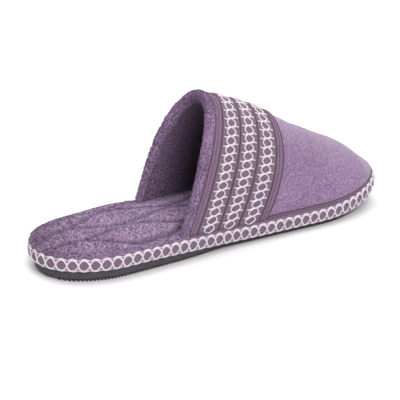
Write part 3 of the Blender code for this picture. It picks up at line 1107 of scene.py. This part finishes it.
def make_edge_band():
    """Mauve woven ground of the band, with fine cords along it."""
    track, _ = edge_track(520)
    profile = [i / 22 for i in range(23)]
    loops = []
    for spot in track:
        loop = []
        for share in profile:
            cord = BAND_CORD * math.cos(2 * math.pi * BAND_CORDS * share)
            loop.append(band_point(spot, share * BRAID_HEIGHT, cord)[0])
        here, out = spot
        for height in (BRAID_HEIGHT, 0.0):
            level = sole_top(min(max(here.x, 0.0), LENGTH)) + CLEARANCE + height
            inset = BRAID_THICKNESS
            loop.append(Vector((here.x - HEEL_SEAT - out.x * inset, here.y - out.y * inset, level)))
        loops.append(loop)
    parts = Parts()
    parts.add_loops(loops, closed=True)
    piece = add_piece("edge_band", parts.points, parts.faces, finish["ground"])
    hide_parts("edge_braid")


def toe_rise(spot):
    """How much higher the chain sits on the band towards the toe."""
    return EDGE_TOE_RISE * smooth_step((spot[0].x / LENGTH - TOE_RISE_START) / TOE_RISE_RUN)


def edge_thread_height(track, at, side, per_oval):
    """Height on the band of one of the two threads that swing against each other."""
    swing = side * math.cos(math.pi * at / per_oval)
    swing = math.copysign(abs(swing) ** EDGE_OVAL_SQUARENESS, swing)
    return EDGE_OVAL_LEVEL + toe_rise(track_spot(track, at)) + EDGE_OVAL_REACH * swing


def make_edge_threads():
    """Doubled white threads that cross between the ovals, and the small scallops above and below."""
    _, length = edge_track(8)
    ovals = round(length / EDGE_OVAL_PITCH)
    per_oval = 16
    track, _ = edge_track(ovals * per_oval)
    parts = Parts()
    step = length / len(track)
    for side in (-1, 1):
        for beside in (-EDGE_THREAD_GAP, EDGE_THREAD_GAP):
            path = []
            for k in range(len(track)):
                rise = edge_thread_height(track, k + 0.5, side, per_oval)
                rise -= edge_thread_height(track, k - 0.5, side, per_oval)
                slant = math.hypot(step, rise)
                spot = track_spot(track, k + beside * rise / slant / step)
                height = edge_thread_height(track, k, side, per_oval) - beside * step / slant
                over = CROSSING * math.sin(math.pi * k / per_oval) * side
                path.append(band_point(spot, height, EDGE_THREAD_PROUD + over))
            parts.add_tube(path, EDGE_THREAD, sides=6, closed=ovals % 2 == 0)
    for level, way in ((UPPER_SCALLOP, 1), (LOWER_SCALLOP, -1)):
        path = []
        for k, spot in enumerate(track):
            swing = abs(math.cos(math.pi * k / per_oval)) - EDGE_SCALLOP_MIDDLE
            height = BRAID_HEIGHT * level + way * EDGE_SCALLOP_SWING * swing
            height += toe_rise(spot) if way > 0 else 0.0
            path.append(band_point(spot, height, EDGE_SCALLOP_PROUD))
        parts.add_tube(path, EDGE_SCALLOP, sides=6, closed=True)
    piece = add_piece("edge_chain", parts.points, parts.faces, finish["white"])


def make_vamp_seam():
    """Mauve cord where the vamp meets the band, with a dark line of painted shadow above it, from foot
    to foot round the toe.
    """
    mauve, dark = Parts(), Parts()
    last = LENGTH - UPPER_INSET
    steps = 110
    rows = []
    for side in (-1, 1):
        foot = COLLAR_INNER_FOOT if side < 0 else COLLAR_OUTER_FOOT
        angle = 0.0 if side < 0 else math.pi
        first = foot + (UPPER_START + SEAM_SET_BACK) * collar_slant(angle)
        backs = [first + (last - first) * math.sin(0.5 * math.pi * k / steps) for k in range(steps)]
        rows += [(back, side) for back in (backs if side < 0 else reversed(backs))]
    for (lift, out_by, radius), parts in ((SEAM_CORD, mauve), (SEAM_SHADOW_LINE, dark)):
        path = []
        for back, side in rows:
            width = half_width(back, side, UPPER_INSET - out_by)
            z = sole_top(back) + BRAID_HEIGHT + 2 * CLEARANCE + lift
            path.append((Vector((back - HEEL_SEAT, side * width, z)), Vector((0, 0, 1))))
        parts.add_tube(path, radius, sides=6)
    piece = add_piece("vamp_seam_cord", mauve.points, mauve.faces, finish["twill"])
    piece = add_piece("vamp_seam_shadow_line", dark.points, dark.faces, finish["dark"])


# Camera, floor and light

CAMERA_AZIMUTH = -37.1
CAMERA_ELEVATION = 22.1
CAMERA_ROLL = -2.6
CAMERA_DISTANCE = 0.978
CAMERA_TARGET = Vector((0.0911, 0.0053, 0.040))
SENSOR = 36.0
FRAME_PIXELS = 400
FOCAL_PIXELS = 1491.0
CENTRE_PIXEL = (210.1, 169.6)
FLOOR_REACH = 6.0
FLOOR_COLOUR = (0.78, 0.77, 0.78, 1)
WORLD_LIGHT = 0.48
# Name, place, target, size and power of each light
LIGHTS = (
    ("overhead", (0.05, 0.40, 1.6), (0.09, 0, 0.02), 2.2, 38),
    ("front", (-0.2, -1.2, 1.1), (0.09, 0, 0.03), 1.0, 20),
)


def make_camera():
    """Camera fitted to the photograph's edges, with its framing."""
    a, e, roll = (math.radians(v) for v in (CAMERA_AZIMUTH, CAMERA_ELEVATION, CAMERA_ROLL))
    back = Vector((math.sin(a) * math.cos(e), -math.cos(a) * math.cos(e), math.sin(e)))
    right = Vector((math.cos(a), math.sin(a), 0))
    up = back.cross(right)
    x_axis = right * math.cos(roll) - up * math.sin(roll)
    y_axis = right * math.sin(roll) + up * math.cos(roll)
    data = bpy.data.cameras.new("camera")
    data.sensor_width = SENSOR
    data.lens = SENSOR * FOCAL_PIXELS / FRAME_PIXELS
    data.shift_x = (FRAME_PIXELS / 2 - CENTRE_PIXEL[0]) / FRAME_PIXELS
    data.shift_y = (CENTRE_PIXEL[1] - FRAME_PIXELS / 2) / FRAME_PIXELS
    data.clip_start = 0.05
    data.clip_end = 50
    camera = bpy.data.objects.new("camera", data)
    bpy.context.scene.collection.objects.link(camera)
    turn = Matrix((x_axis, y_axis, back)).transposed().to_4x4()
    camera.matrix_world = Matrix.Translation(CAMERA_TARGET + back * CAMERA_DISTANCE) @ turn
    bpy.context.scene.camera = camera


def make_floor():
    mesh = bpy.data.meshes.new("floor")
    reach = FLOOR_REACH
    corners = [(-reach, -reach, 0), (reach, -reach, 0), (reach, reach, 0), (-reach, reach, 0)]
    mesh.from_pydata(corners, [], [(0, 1, 2, 3)])
    material = bpy.data.materials.new("pale_floor")
    material.use_nodes = True
    shader = material.node_tree.nodes["Principled BSDF"]
    shader.inputs["Base Color"].default_value = FLOOR_COLOUR
    shader.inputs["Roughness"].default_value = 0.9
    mesh.materials.append(material)
    floor = bpy.data.objects.new("floor", mesh)
    bpy.context.scene.collection.objects.link(floor)


def add_light(name, place, target, size, power):
    data = bpy.data.lights.new(name, "AREA")
    data.size = size
    data.energy = power
    light = bpy.data.objects.new(name, data)
    light.location = place
    light.rotation_euler = (Vector(target) - Vector(place)).to_track_quat("-Z", "Y").to_euler()
    bpy.context.scene.collection.objects.link(light)


def make_light():
    world = bpy.data.worlds.new("studio")
    world.use_nodes = True
    world.node_tree.nodes["Background"].inputs["Color"].default_value = (1, 1, 1, 1)
    world.node_tree.nodes["Background"].inputs["Strength"].default_value = WORLD_LIGHT
    bpy.context.scene.world = world
    for light in LIGHTS:
        add_light(*light)
    bpy.context.scene.view_settings.view_transform = "Standard"


make_camera()
make_floor()
make_light()
make_sole()
make_tread_ribs()
footbed_top = make_footbed()
make_footbed_tufts(footbed_top)
make_vamp()
make_lining()
make_cuff()
make_instep_trims()
make_edge_band()
make_edge_threads()
make_vamp_seam()
